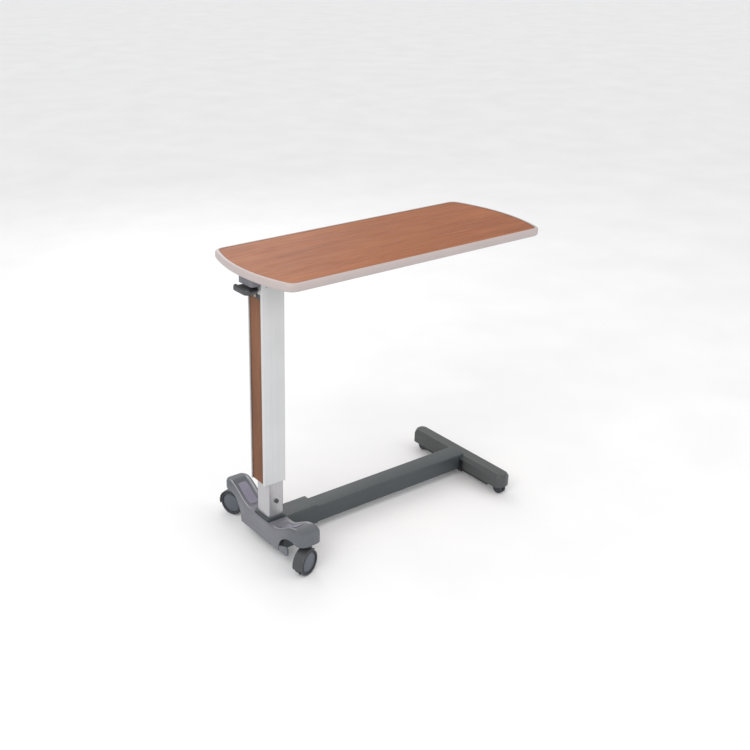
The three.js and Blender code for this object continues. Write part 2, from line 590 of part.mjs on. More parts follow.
function buildFarFoot() {
  const shell = prismY(farSection(0, FAR_LOW), -FAR_SHELL_END, FAR_SHELL_END);
  const hollow = prismY(farSection(2.5, FAR_LOW - 5), -FAR_SHELL_END - 5, FAR_SHELL_END + 5);
  const channel = cut(shell, hollow);
  const bosses = [-1, 1].map((side) => rodZ(9, 40, FAR_HIGH - 1).translate(0, side * FAR_CASTER_Y, 0));
  const sockets = [-1, 1].map((side) => rodZ(3 + GAP, 30, 52).translate(0, side * FAR_CASTER_Y, 0));
  part('far_foot_shell', cut(join(channel, ...bosses), ...sockets), FOOT_PAINT, { at: [FAR_X, 0, 0] });

  const trayHalf = FAR_HALF - 2.5 - GAP;
  part('far_foot_tray', box(-trayHalf, trayHalf, -146, 146, 9, FAR_LOW + 3), BLACK_PLASTIC, { at: [FAR_X, 0, 0] });
  part('far_cap_front', farCap(-1), FOOT_PAINT, { at: [FAR_X, 0, 0] });
  part('far_cap_rear', farCap(1), FOOT_PAINT, { at: [FAR_X, 0, 0] });
}

// ---------------------------------------------------------------- casters
// Each caster is drawn about its own swivel axis and up from the floor: the wheels trail towards
// -Y and the axle is along X.
function casterGroup(x, y, turn) {
  const group = new THREE.Group();
  group.position.set(x, y, FLOOR);
  group.rotation.z = turn;
  table.add(group);
  return group;
}

// Outline of a curved guard round a wheel centre, from one angle to another.
function guardOutline(centre, inner, outer, from, to) {
  const shape = new THREE.Shape();
  shape.absarc(...centre, outer, from, to);
  shape.absarc(...centre, inner, to, from, true);
  return shape;
}

function nearCaster(name, y, turn) {
  const group = casterGroup(CASTER_X, y, turn);
  const outer = WHEEL_INNER + WHEEL_WIDTH;
  const centre = [0, -CASTER_TRAIL, WHEEL_RADIUS];
  const middle = [-CASTER_TRAIL, WHEEL_RADIUS];
  const half = WHEEL_INNER - 0.6;
  const wheelSpace = rodX(WHEEL_RADIUS + 1, -outer - 1, outer + 1, 48).translate(...centre);
  const stemTop = PLATE_HIGH - FLOOR;
  const boss = cut(rodZ(10, 2 * WHEEL_RADIUS - 6, PLATE_LOW - GAP - FLOOR, 24), wheelSpace);
  const stem = rodZ(5, stemTop - 15, stemTop, 20);
  const disc = prismX(new THREE.Shape().absarc(...middle, HOOD_RADIUS - 1.5, 0, 2 * Math.PI), -half, half, { curveSegments: 16 });
  const hood = prismX(guardOutline(middle, WHEEL_RADIUS + 1, HOOD_RADIUS, Math.PI * 0.3, Math.PI * 1.08), -outer, outer,
    { curveSegments: 16 });
  const belly = box(-half - 1, half + 1, -100, 100, -50, 9);
  const bore = rodX(4 + GAP, -30, 30).translate(...centre);
  part(`${name}_caster_body`, cut(join(disc, hood, boss, stem), belly, bore), DARK_PLASTIC, { parent: group });

  const face = outer - 4;   // the hub's face lies back inside the tyre's rim
  const axleEnd = face - 1.2;
  part(`${name}_caster_axle`, rodX(4, -axleEnd, axleEnd, 16), ZINC, { at: centre, parent: group });
  const tyre = [[HUB_RADIUS + GAP, WHEEL_INNER], [WHEEL_RADIUS - 3, WHEEL_INNER], [WHEEL_RADIUS - 0.6, WHEEL_INNER + 2],
    [WHEEL_RADIUS, WHEEL_INNER + 5], [WHEEL_RADIUS, outer - 4], [WHEEL_RADIUS - 1, outer - 1.2], [WHEEL_RADIUS - 3.5, outer], [HUB_RADIUS + 1.5, outer], [HUB_RADIUS + GAP, outer - 1.5],
    [HUB_RADIUS + GAP, WHEEL_INNER]];
  const core = [[4.3, WHEEL_INNER + 0.2], [8, WHEEL_INNER + 0.2], [9, WHEEL_INNER + 2], [HUB_RADIUS, WHEEL_INNER + 2],
    [HUB_RADIUS, face], [25, face + 1.2], [0, face + 1.4], [0, face - 0.9], [4.3, face - 0.9], [4.3, WHEEL_INNER + 0.2]];
  for (const [side, sign] of [['left', -1], ['right', 1]]) {
    const wheel = new THREE.Group();
    wheel.position.fromArray(centre);
    wheel.rotation.y = sign * Math.PI / 2;
    group.add(wheel);
    part(`${name}_wheel_${side}_tyre`, turned(tyre, 40), TYRE_RUBBER, { parent: wheel });
    part(`${name}_wheel_${side}_core`, turned(core, 40), HUB_PLASTIC, { parent: wheel });
  }
}

function farCaster(name, y) {
  const group = casterGroup(FAR_X, y, 0);
  const plate = new THREE.Shape();
  plate.absarc(-FAR_TRAIL, FAR_WHEEL_RADIUS, 9, Math.PI, Math.PI * 1.9);
  plate.lineTo(4, 42);
  plate.lineTo(-8, 42);
  const half = FAR_WHEEL_INNER - 0.5;
  const centre = [0, -FAR_TRAIL, FAR_WHEEL_RADIUS];
  const body = join(prismX(plate, -half, half, { curveSegments: 3 }), rodZ(8, 41.2, 46, 18), rodZ(3, 44, 59, 14));
  part(`${name}_caster_body`, cut(body, rodX(2 + GAP, -30, 30, 14).translate(...centre)), BLACK_PLASTIC, { parent: group });

  const outer = FAR_WHEEL_INNER + FAR_WHEEL_WIDTH;
  const rim = FAR_WHEEL_RADIUS - 1.5;
  part(`${name}_caster_axle`, rodX(2, 1.5 - outer, outer - 1.5, 12), ZINC, { at: centre, parent: group });
  const wheel = [[2.3, FAR_WHEEL_INNER], [rim, FAR_WHEEL_INNER], [FAR_WHEEL_RADIUS, FAR_WHEEL_INNER + 1.5],
    [FAR_WHEEL_RADIUS, outer - 1.5], [rim, outer], [0, outer], [0, outer - 1.2], [2.3, outer - 1.2], [2.3, FAR_WHEEL_INNER]];
  for (const [side, sign] of [['left', -1], ['right', 1]]) {
    const mesh = part(`${name}_wheel_${side}`, turned(wheel, 28), TYRE_RUBBER, { at: centre, parent: group });
    mesh.rotation.y = sign * Math.PI / 2;
  }
}

buildTop();
buildMovingColumn();
buildGasSpring();
buildLever();
buildFixedColumn();
buildNearFoot();
buildBeam();
buildFarFoot();
nearCaster('front', CASTER_Y[0], FRONT_CASTER_TURN);
nearCaster('rear', CASTER_Y[1], REAR_CASTER_TURN);
farCaster('far_front', -FAR_CASTER_Y);
farCaster('far_rear', FAR_CASTER_Y);

export default table;
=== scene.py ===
"""Overbed table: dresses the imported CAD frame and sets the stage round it.

The CAD nodes keep their shapes and get procedural materials. The moulded cover of the near foot,
its two inlays and the end caps of the far foot are rebuilt as smooth shells in the same places.
Camera, lights and stage are in metres. The shells are drawn in millimetres from an origin at
their foot, with x across the foot, y along it and z up.
"""
import json
import math

import bmesh
import bpy
from mathutils import Matrix, Vector


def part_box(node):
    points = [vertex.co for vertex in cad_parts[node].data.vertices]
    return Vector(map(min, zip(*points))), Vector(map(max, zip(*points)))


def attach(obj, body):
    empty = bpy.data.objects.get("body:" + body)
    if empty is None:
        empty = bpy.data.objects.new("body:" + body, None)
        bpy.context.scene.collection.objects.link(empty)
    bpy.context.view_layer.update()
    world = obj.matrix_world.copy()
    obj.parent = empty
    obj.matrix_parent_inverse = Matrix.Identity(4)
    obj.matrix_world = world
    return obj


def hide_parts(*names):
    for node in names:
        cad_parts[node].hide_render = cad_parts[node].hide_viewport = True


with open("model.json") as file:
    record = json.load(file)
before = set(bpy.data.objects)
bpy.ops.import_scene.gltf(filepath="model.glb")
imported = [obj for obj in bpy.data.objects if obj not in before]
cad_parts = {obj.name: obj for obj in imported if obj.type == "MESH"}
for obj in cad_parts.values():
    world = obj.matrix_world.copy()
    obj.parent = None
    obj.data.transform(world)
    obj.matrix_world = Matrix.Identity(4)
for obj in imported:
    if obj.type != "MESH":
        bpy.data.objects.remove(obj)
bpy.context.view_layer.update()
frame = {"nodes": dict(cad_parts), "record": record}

MM = 0.001
ALBEDO = 0.8               # share of each display colour used as albedo, so the studio can be bright
NOISE_BODY = (0.3, 0.7)    # most of a noise texture's values lie between these
SMOOTH_ANGLE = math.radians(32)
WELD_DISTANCE = 1e-6

# Camera, placed from the middle of the working surface
CAMERA_AZIMUTH = math.radians(-35.08)
CAMERA_ELEVATION = math.radians(24.03)
CAMERA_DISTANCE = 3.02356
CAMERA_TARGET = Vector((-0.00487, 0.0, -0.4))
CAMERA_SHIFT_RIGHT = -0.21948
CAMERA_SHIFT_UP = 0.00172
SENSOR_WIDTH = 36.0
FOCAL_SHARE = 1.43076      # focal length as a share of the sensor's width
LENS_SHIFT = 0.10231       # sideways lens shift as a share of the image's width

# Stage
FLOOR_REACH = 40.0
SKY_STRENGTH = 0.92
LIGHT_TARGET = Vector((0.0, 0.0, 0.45))


def box_middle(node):
    low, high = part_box(node)
    return (low + high) / 2


TOP_MIDDLE = box_middle("tabletop_edge")
TOP_MIDDLE.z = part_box("tabletop_board")[1].z
COVER_LOW, COVER_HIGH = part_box("foot_cover")
COVER_MIDDLE = box_middle("foot_cover")

# Cover of the near foot. y is measured from the middle line of the top, towards either end.
COVER_HALF = (COVER_HIGH.x - COVER_LOW.x) / 2 / MM
COVER_WALL = 3.0
COVER_BASE = 20.0                         # lower edge between the wheel arches
WAIST_TOP, WAIST_HALF = 75.0, 62.0        # the low, level middle
HUMP_TOP, HUMP_PEAK = 117.0, 165.0        # height of the humps, and y where they are highest
HUMP_FALL, HUMP_FALL_REACH = 6.0, 31.0    # how far a hump falls past its peak, and over what length
FRONT_END, FRONT_CORNER = 201.0, 22.0     # half length and corner radius in plan
REAR_END, REAR_CORNER = 191.0, 34.0
END_ROUND = 13.0                          # radius that rounds the top down at both ends
LEAST_HALF = 5.0                          # half the width of the flat at each end, as on the far caps
LEAST_SKIRT = 6.0                         # least height of the sides
SHOULDER = 8.0                            # radius between side and top
SHOULDER_SHARE = 0.9                      # largest share of the half width that the radius takes
WALL_SHARES = (0.0, 0.25, 0.5, 0.75)      # points up a side, as shares of its height
CHANNEL_SHARES = (0.6, 0.3, 0.0)          # points in across the channel, as shares of the flat
BEND_STEPS, FRONT_STEPS, REAR_STEPS = 7, 12, 16
STATION_STEP = 3.0                        # spacing of the sections between the corners
STATION_START = 2.0                       # how far past the front corner that spacing starts

# Lower edge round each wheel: (y, height)
FRONT_ARCH = ((93, 20), (94, 34), (103, 55), (117, 68), (134, 77), (155, 81), (175, 78), (201, 79))
REAR_ARCH = ((91, 20), (93, 45), (100, 60), (109, 75), (121, 86), (137, 91), (155, 92), (191, 90))

# Channel on the slope of each hump, with a bead along both of its sides
DISH_DEPTH = 3.4
DISH_START, DISH_END, DISH_EASE = 58.0, 158.0, 14.0
BEAD_HEIGHT = 1.9
# (distance in from the shoulder, its largest share of the flat, share of the bead's height,
# share of the channel's depth)
BEAD_PROFILE = ((0.9, 0.04, 0.8, 0.0), (2.2, 0.08, 1.0, 0.0), (3.4, 0.12, 0.7, 0.1),
                (4.4, 0.16, 0.2, 0.5), (5.6, 0.2, 0.0, 1.0))

# Colour zones of the cover, for its darker, greener ends and the painted highlight on its beads,
# as distances in metres from its middle lines: where each starts, and where it is complete
WHEEL_ZONE = (0.09, 0.16)
WHEEL_TINT = (0.62, 0.68, 0.66, 1.0)
BEAD_INNER, BEAD_OUTER = (0.0215, 0.0235), (0.0285, 0.0268)
BEAD_NEAR, BEAD_FAR = (0.052, 0.07), (0.168, 0.150)
BEAD_HIGHLIGHT_UPWARD = (0.3, 0.6)                  # the same for the upward part of the surface normal: the painted highlight falls on faces turned up
# Painted highlight on the beads: its pale colour, and how strongly it is mixed in
BEAD_HIGHLIGHT_COLOUR, BEAD_HIGHLIGHT_STRENGTH = (215, 217, 220), 0.6

# Guard beside the front wheel, joined to the inside of each skirt
GUARD_START, GUARD_END = 84.0, 136.0
GUARD_ROOT, GUARD_TOP = 36.0, 48.0
GUARD_ROOT_LENGTH = 4.0
GUARD_ROUND, GUARD_STEPS = 9.0, 6
GUARD_WALL = 2.6
GUARD_LAP = 1.0                           # how far the guard reaches into the skirt's wall

# Clearance cuts in the cover, in metres
COLLAR_CLEARANCE = Vector((0.0004, 0.0004, 0.02))
BEAM_CLEARANCE = 0.0006
BEAM_CUT_INSIDE, BEAM_CUT_OUTSIDE, BEAM_CUT_BELOW = 0.012, 0.02, 0.03

# Inlay plates in the channels
INLAY_START, INLAY_END = 74.0, 142.0
INLAY_HALF, INLAY_CORNER = 14.0, 6.0
INLAY_THICK, INLAY_THIN = 2.0, 0.5        # thickness in the middle, and right at each end
INLAY_ROUND = 2.5                         # length over which the ends round down
INLAY_LEAST_CORNER = 0.4
INLAY_GAP = 0.3
INLAY_CROWN = 0.5
INLAY_STEPS = 34
# Side of an inlay: (distance in from its edge, share of its thickness)
INLAY_PROFILE = ((0.0, 0.0), (0.0, 0.55), (0.6, 0.86), (1.8, 1.0))

# End caps of the far foot
FAR_BEVEL_WIDTH, FAR_BEVEL_START = 9.5, 29.0
FAR_TOP_ROUND = 6.0
FAR_WALL = 2.5
FAR_LEAST_FLAT = 0.8
FAR_RIM_BELOW, FAR_RIM_IN, FAR_RIM_UP = 1.0, 0.5, 0.6     # easing of the edge between side and bevel
FAR_TOP_OUT, FAR_TOP_DOWN, FAR_TOP_IN = 1.0, 0.8, 1.2     # and of the one between bevel and top
FAR_STEPS = 14

# Origin of the cover's drawing. Its level puts the top of the humps at the top of the CAD node.
COVER_ORIGIN = Vector((COVER_MIDDLE.x, TOP_MIDDLE.y, COVER_HIGH.z - HUMP_TOP * MM))


# ---------------------------------------------------------------- material nodes
class Builder:
    """Adds shader nodes to one material; most calls return the socket to use next."""

    def __init__(self, name):
        self.material = bpy.data.materials.new(name)
        self.material.use_nodes = True
        self.tree = self.material.node_tree
        self.shader = self.tree.nodes["Principled BSDF"]
        self.position = self.add("ShaderNodeTexCoord").outputs["Object"]
        self.colour = None

    def add(self, kind, **settings):
        node = self.tree.nodes.new(kind)
        for key, value in settings.items():
            setattr(node, key, value)
        return node

    def feed(self, socket, value):
        """Links a socket to an input, or sets the input to a plain value."""
        if isinstance(value, bpy.types.NodeSocket):
            self.tree.links.new(value, socket)
        else:
            socket.default_value = value

    def paint(self, colour):
        self.colour = colour
        self.feed(self.shader.inputs["Base Color"], colour)

    def roughen(self, value):
        self.feed(self.shader.inputs["Roughness"], value)

    def math(self, operation, *values):
        node = self.add("ShaderNodeMath", operation=operation)
        for socket, value in zip(node.inputs, values):
            self.feed(socket, value)
        return node.outputs[0]

    def times(self, first, *others):
        """Product of sockets and numbers."""
        for other in others:
            first = self.math("MULTIPLY", first, other)
        return first

    def distance(self, coordinate, middle):
        return self.math("ABSOLUTE", self.math("SUBTRACT", coordinate, middle))

    def split(self, vector):
        """The outputs X, Y and Z of a vector."""
        node = self.add("ShaderNodeSeparateXYZ")
        self.feed(node.inputs[0], vector)
        return node.outputs

    def normal(self):
        return self.add("ShaderNodeNewGeometry").outputs["Normal"]

    def stretch(self, scale):
        """Object position with each axis scaled."""
        node = self.add("ShaderNodeVectorMath", operation="MULTIPLY")
        self.feed(node.inputs[0], self.position)
        node.inputs[1].default_value = scale
        return node.outputs[0]

    def noise(self, scale, detail=3.0, roughness=0.5, vector=None, distortion=0.0):
        node = self.add("ShaderNodeTexNoise")
        self.feed(node.inputs["Vector"], vector or self.position)
        node.inputs["Scale"].default_value = scale
        node.inputs["Detail"].default_value = detail
        node.inputs["Roughness"].default_value = roughness
        node.inputs["Distortion"].default_value = distortion
        return node.outputs["Fac"]

    def remap(self, value, low, high, to_low=0.0, to_high=1.0):
        node = self.add("ShaderNodeMapRange", clamp=True)
        for socket, entry in zip(node.inputs, (value, low, high, to_low, to_high)):
            self.feed(socket, entry)
        return node.outputs[0]

    def mix(self, factor, first, second, mode="MIX"):
        node = self.add("ShaderNodeMix", data_type="RGBA", blend_type=mode)
        first_colour, second_colour = [s for s in node.inputs if s.type == "RGBA"]
        self.feed(node.inputs[0], factor)
        self.feed(first_colour, first)
        self.feed(second_colour, second)
        return [s for s in node.outputs if s.type == "RGBA"][0]

    def rounded_normal(self, radius):
        bevel = self.add("ShaderNodeBevel", samples=4)
        bevel.inputs["Radius"].default_value = radius
        return bevel.outputs[0]

    def edge(self, radius, low=0.02, high=0.3):
        """1 along sharp edges and 0 on flat faces.

        low and high are how far the rounded normal leaves the true one where the edge starts and
        where it is complete.
        """
        dot = self.add("ShaderNodeVectorMath", operation="DOT_PRODUCT")
        self.feed(dot.inputs[0], self.rounded_normal(radius))
        self.feed(dot.inputs[1], self.normal())
        return self.remap(dot.outputs["Value"], 1 - low, 1 - high)

    def bump(self, height, strength, distance, radius=0.0006):
        """Bump on top of slightly rounded edges."""
        node = self.add("ShaderNodeBump")
        node.inputs["Strength"].default_value = strength
        node.inputs["Distance"].default_value = distance
        self.feed(node.inputs["Height"], height)
        self.feed(node.inputs["Normal"], self.rounded_normal(radius))
        self.feed(self.shader.inputs["Normal"], node.outputs[0])


def linear(rgb):
    """An 8-bit display colour as linear RGBA, scaled down by ALBEDO."""
    curve = [c / 255 / 12.92 if c <= 10 else ((c / 255 + 0.055) / 1.055) ** 2.4 for c in rgb]
    return tuple(ALBEDO * c for c in curve) + (1.0,)


def shade(rgb, share):
    return tuple(min(255.0, c * share) for c in rgb)


# ---------------------------------------------------------------- materials
def plastic_builder(name, rgb, roughness=0.5, grain=0.12, wear=0.35, light=1.35, mottle=0.06):
    """Moulded plastic or paint: fine grain, faint blotches, and lighter rubbed edges.

    grain is the strength of the bump and mottle that of the blotches. wear is how much of the
    edges is rubbed, to a colour light times as bright.
    """
    m = Builder(name)
    blotch = m.noise(14.0, detail=4.0, roughness=0.6)
    speckle = m.noise(900.0, detail=2.0)
    patches = m.remap(m.noise(60.0), 0.35, 0.65, 0.2 * wear, wear)
    dim = linear(shade(rgb, 1 - mottle))
    bright = linear(shade(rgb, 1 + mottle))
    colour = m.mix(m.remap(blotch, *NOISE_BODY), dim, bright)
    colour = m.mix(m.remap(speckle, 0.35, 0.75, 0.0, 0.25), colour, linear(shade(rgb, 0.86)))
    m.paint(m.mix(m.times(m.edge(0.0016), patches), colour, linear(shade(rgb, light))))
    m.roughen(m.remap(blotch, *NOISE_BODY, roughness - 0.06, roughness + 0.07))
    m.bump(speckle, grain, 0.0002)
    return m


def plastic(name, rgb, **look):
    return plastic_builder(name, rgb, **look).material


def cover_look():
    """Moulded cover: a painted highlight on the upward faces of its beads, darker and greener over the
    wheels.
    """
    m = plastic_builder("cover_shell", (126, 126, 134), roughness=0.5, grain=0.2, wear=0.5, light=1.5)
    place = m.split(m.position)
    away = m.distance(place["Y"], TOP_MIDDLE.y)
    aside = m.distance(place["X"], COVER_MIDDLE.x)
    green = m.mix(1.0, m.colour, WHEEL_TINT, "MULTIPLY")
    colour = m.mix(m.remap(away, *WHEEL_ZONE), m.colour, green)
    across = m.times(m.remap(aside, *BEAD_INNER), m.remap(aside, *BEAD_OUTER))
    along = m.times(m.remap(away, *BEAD_NEAR), m.remap(away, *BEAD_FAR))
    # Painted highlight: the beads' upward faces are mixed towards a pale colour, as where light falls on
    # them
    highlight_upward = m.remap(m.split(m.normal())["Z"], *BEAD_HIGHLIGHT_UPWARD, 0.0, BEAD_HIGHLIGHT_STRENGTH)
    m.paint(m.mix(m.times(across, along, highlight_upward), colour, linear(BEAD_HIGHLIGHT_COLOUR)))
    return m.material


def laminate(name, dark, mid, pale, along, grain_scale=1.0, roughness=0.42):
    """Printed wood grain along one axis (0 is X and 2 is Z), with painted shade in its corners."""
    m = Builder(name)
    broad = [1.0, 1.0, 1.0]
    broad[along] = 0.5
    narrow = [1.0, 1.0, 1.0]
    narrow[along] = 0.045
    long_grain = m.stretch(narrow)
    warp = m.noise(5.0 * grain_scale, detail=2.0, vector=m.stretch(broad))
    figure = m.noise(26.0 * grain_scale, detail=5.0, roughness=0.6, vector=long_grain, distortion=0.6)
    pores = m.noise(260.0 * grain_scale, detail=3.0, roughness=0.7, vector=long_grain)
    # Painted shade: ambient occlusion darkens the wood close to the edge band's lip and other nearby parts
    corner_shade = m.add("ShaderNodeAmbientOcclusion", samples=8)
    corner_shade.inputs["Distance"].default_value = 0.006
    colour = m.mix(m.remap(figure, *NOISE_BODY), linear(dark), linear(mid))
    colour = m.mix(m.remap(warp, 0.35, 0.75, 0.0, 0.55), colour, linear(pale))
    colour = m.mix(m.remap(pores, 0.52, 0.72, 0.0, 0.55), colour, linear(shade(dark, 0.82)))
    colour = m.mix(m.times(m.edge(0.0012), 0.3), colour, linear(pale))
    # Painted shade in the corners, mixed in from the ambient occlusion
    m.paint(m.mix(m.remap(corner_shade.outputs["AO"], 0.7, 0.97, 0.8, 0.0), colour, linear(shade(dark, 0.45))))
    m.shader.inputs["Specular IOR Level"].default_value = 0.22
    m.roughen(m.remap(pores, *NOISE_BODY, roughness - 0.05, roughness + 0.1))
    m.bump(pores, 0.15, 0.0001)
    return m.material


def silver(name, rgb, metallic=0.25, roughness=0.36):
    """Silver painted or anodised extrusion: faint die lines along Z and tiny flakes."""
    m = Builder(name)
    lines = m.noise(420.0, detail=2.0, vector=m.stretch((1.0, 1.0, 0.004)))
    flakes = m.noise(1600.0, detail=1.0)
    cloud = m.noise(7.0)
    colour = m.mix(m.remap(cloud, *NOISE_BODY), linear(shade(rgb, 0.965)), linear(shade(rgb, 1.02)))
    colour = m.mix(m.remap(lines, *NOISE_BODY, 0.0, 0.35), colour, linear(shade(rgb, 0.93)))
    colour = m.mix(m.remap(flakes, 0.55, 0.75, 0.0, 0.3), colour, linear(shade(rgb, 0.85)))
    m.paint(m.mix(m.times(m.edge(0.0014), 0.4), colour, linear((244, 238, 234))))
    m.roughen(m.remap(lines, *NOISE_BODY, roughness - 0.05, roughness + 0.08))
    m.shader.inputs["Metallic"].default_value = metallic
    m.bump(lines, 0.1, 0.0001, radius=0.001)
    return m.material


def zinc(name):
    """Zinc plate: bright, with cloudy passivation and fine turning marks."""
    m = Builder(name)
    cloud = m.noise(45.0, detail=4.0)
    turning = m.noise(700.0, detail=2.0, vector=m.stretch((0.15, 0.15, 1.0)))
    colour = m.mix(m.remap(cloud, *NOISE_BODY), linear((172, 174, 178)), linear((212, 210, 200)))
    m.paint(m.mix(m.times(m.edge(0.0008), 0.5), colour, linear((236, 236, 236))))
    m.roughen(m.remap(turning, *NOISE_BODY, 0.24, 0.42))
    m.shader.inputs["Metallic"].default_value = 0.9
    m.bump(turning, 0.12, 0.0001)
    return m.material


def rubber(name, rgb):
    """Wheel tread: matte, scuffed paler where it rolls, with dust in patches."""
    m = Builder(name)
    scuff = m.noise(120.0, detail=4.0, roughness=0.65)
    dust = m.noise(22.0)
    colour = m.mix(m.remap(scuff, 0.4, 0.7), linear(rgb), linear(shade(rgb, 1.4)))
    colour = m.mix(m.remap(dust, 0.5, 0.8, 0.0, 0.35), colour, linear((120, 118, 112)))
    m.paint(m.mix(m.times(m.edge(0.0015), 0.3), colour, linear((110, 110, 112))))
    m.roughen(m.remap(scuff, *NOISE_BODY, 0.62, 0.85))
    m.bump(scuff, 0.25, 0.0002)
    return m.material


def top_laminate():
    return laminate("top_laminate", (146, 72, 24), (174, 94, 30), (190, 113, 46), along=0)


def strip_laminate():
    return laminate("strip_laminate", (110, 66, 40), (142, 92, 60), (160, 110, 78), along=2, grain_scale=1.6)


def edge_band():
    return plastic("edge_band", (200, 187, 184), roughness=0.42, grain=0.06, wear=0.25, light=1.12,
                   mottle=0.015)


def lilac_inlay():
    return plastic("lilac_inlay", (148, 145, 162), roughness=0.34, grain=0.05, wear=0.5, light=1.25)


def powder_coat(name, rgb):
    return plastic(name, rgb, roughness=0.42, grain=0.1, wear=0.4, light=1.45)


# One material for each slot of the record
MATERIALS = {
    "laminate": top_laminate(),
    "strip_wood": strip_laminate(),
    "edge_plastic": edge_band(),
    "silver_paint": silver("silver_extrusion", (226, 227, 228)),
    "cream_plastic": plastic("cream_screw", (196, 184, 156), wear=0.3, light=1.15),
    "cover_plastic": cover_look(),
    "inlay_plastic": lilac_inlay(),
    "dark_paint": powder_coat("dark_powder_coat", (68, 75, 78)),
    "foot_paint": powder_coat("foot_powder_coat", (76, 80, 80)),
    "dark_plastic": plastic("dark_plastic", (74, 75, 78), roughness=0.48, grain=0.15, wear=0.5, light=1.6),
    "black_plastic": plastic("black_plastic", (26, 26, 28), grain=0.15, wear=0.4, light=2.0),
    "white_plastic": plastic("white_glide", (222, 222, 218), roughness=0.4, grain=0.05, wear=0.2, light=1.1),
    "tyre_rubber": rubber("tyre_rubber", (52, 54, 60)),
    "hub_plastic": plastic("hub_disc", (95, 100, 110), roughness=0.4, grain=0.08, wear=0.3, light=1.3),
    "zinc": zinc("zinc_plate"),
}
# Nodes that look different from the rest of their slot
NODE_LOOKS = {
    "inner_column": silver("inner_extrusion", (205, 204, 207), metallic=0.6, roughness=0.3),
}


# ---------------------------------------------------------------- CAD nodes
def smooth_by_angle():
    """A geometry group that welds a mesh and shades every edge under SMOOTH_ANGLE smooth."""
    group = bpy.data.node_groups.new("smooth_by_angle", "GeometryNodeTree")
    group.interface.new_socket("Geometry", in_out="INPUT", socket_type="NodeSocketGeometry")
    group.interface.new_socket("Geometry", in_out="OUTPUT", socket_type="NodeSocketGeometry")
    add = group.nodes.new
    link = group.links.new
    start = add("NodeGroupInput")
    end = add("NodeGroupOutput")
    weld = add("GeometryNodeMergeByDistance")
    weld.inputs["Distance"].default_value = WELD_DISTANCE
    faces = add("GeometryNodeSetShadeSmooth")
    edges = add("GeometryNodeSetShadeSmooth")
    edges.domain = "EDGE"
    edges.inputs["Shade Smooth"].default_value = False
    angle = add("GeometryNodeInputMeshEdgeAngle")
    limit = add("FunctionNodeCompare")
    limit.operation = "GREATER_THAN"
    limit.inputs["B"].default_value = SMOOTH_ANGLE
    link(start.outputs[0], weld.inputs["Geometry"])
    link(weld.outputs[0], faces.inputs["Geometry"])
    link(faces.outputs[0], edges.inputs["Geometry"])
    link(angle.outputs["Unsigned Angle"], limit.inputs["A"])
    link(limit.outputs[0], edges.inputs["Selection"])
    link(edges.outputs[0], end.inputs[0])
    return group


SMOOTHING = smooth_by_angle()


def dress_nodes():
    """Gives every CAD node its material and smooth shading."""
    for row in frame["record"]["subparts"]:
        node = frame["nodes"][row["node"]]
        node.data.materials.clear()
        node.data.materials.append(NODE_LOOKS.get(row["node"]) or MATERIALS[row["material_slot"]])
        node.modifiers.new("smooth", "NODES").node_group = SMOOTHING


# ---------------------------------------------------------------- tools for new pieces
def quarter_turn(steps):
    """Angles from 0 to 90 degrees."""
    return [math.pi / 2 * i / steps for i in range(steps + 1)]


def mirrored(points):
    """A half section that ends on the middle line, with its mirror image added."""
    return points + [(-x, z) for x, z in reversed(points[:-1])]


def skin(name, rows, origin, closed_ends=()):
    """A mesh of quads through equal rows of points, in millimetres from the origin.

    closed_ends lists the rows (0 the first, -1 the last) that get a flat face.
    """
    mesh = bpy.data.meshes.new(name)
    work = bmesh.new()
    grid = [[work.verts.new(origin + Vector(point) * MM) for point in row] for row in rows]
    for first, second in zip(grid, grid[1:]):
        for i in range(len(first) - 1):
            work.faces.new((first[i], second[i], second[i + 1], first[i + 1]))
    for end in closed_ends:
        work.faces.new(grid[end])
    bmesh.ops.remove_doubles(work, verts=work.verts, dist=WELD_DISTANCE)
    bmesh.ops.recalc_face_normals(work, faces=work.faces)
    for face in work.faces:
        face.smooth = True
    work.to_mesh(mesh)
    work.free()
    piece = bpy.data.objects.new(name, mesh)
    bpy.context.collection.objects.link(piece)
    return piece


def apply_modifiers(piece):
    """Bakes the modifiers of a new piece into its mesh."""
    view = bpy.context.evaluated_depsgraph_get()
    piece.data = bpy.data.meshes.new_from_object(piece.evaluated_get(view))
    piece.modifiers.clear()


def thicken(piece, wall):
    """Gives a skin a wall, in millimetres inwards."""
    solid = piece.modifiers.new("wall", "SOLIDIFY")
    solid.thickness = wall * MM
    solid.offset = -1
    apply_modifiers(piece)


def combine(piece, other, operation):
    """Applies a boolean with another object, and removes that object."""
    boolean = piece.modifiers.new("boolean", "BOOLEAN")
    boolean.operation = operation
    boolean.solver = "EXACT"
    boolean.object = other
    apply_modifiers(piece)
    bpy.data.objects.remove(other)


def cut_box(piece, low, high):
    """Cuts a box, given in metres, out of a new piece."""
    bpy.ops.mesh.primitive_cube_add(size=1)
    cutter = bpy.context.object
    cutter.matrix_world = Matrix.Translation((low + high) / 2) @ Matrix.Diagonal((*(high - low), 1))
    combine(piece, cutter, "DIFFERENCE")


def dress(piece, slot, replaced):
    """Gives a new piece its material and shading, and puts it on the base for a CAD node."""
    piece.data.materials.clear()
    piece.data.materials.append(MATERIALS[slot])
    piece.modifiers.new("smooth", "NODES").node_group = SMOOTHING
    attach(piece, "base")
    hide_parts(replaced)


# ---------------------------------------------------------------- moulded cover of the near foot
def smoothstep(t):
    t = min(max(t, 0.0), 1.0)
    return t * t * (3 - 2 * t)


def plan_end(y):
    """Half length and corner radius of the end that y lies towards."""
    return (FRONT_END, FRONT_CORNER) if y < 0 else (REAR_END, REAR_CORNER)


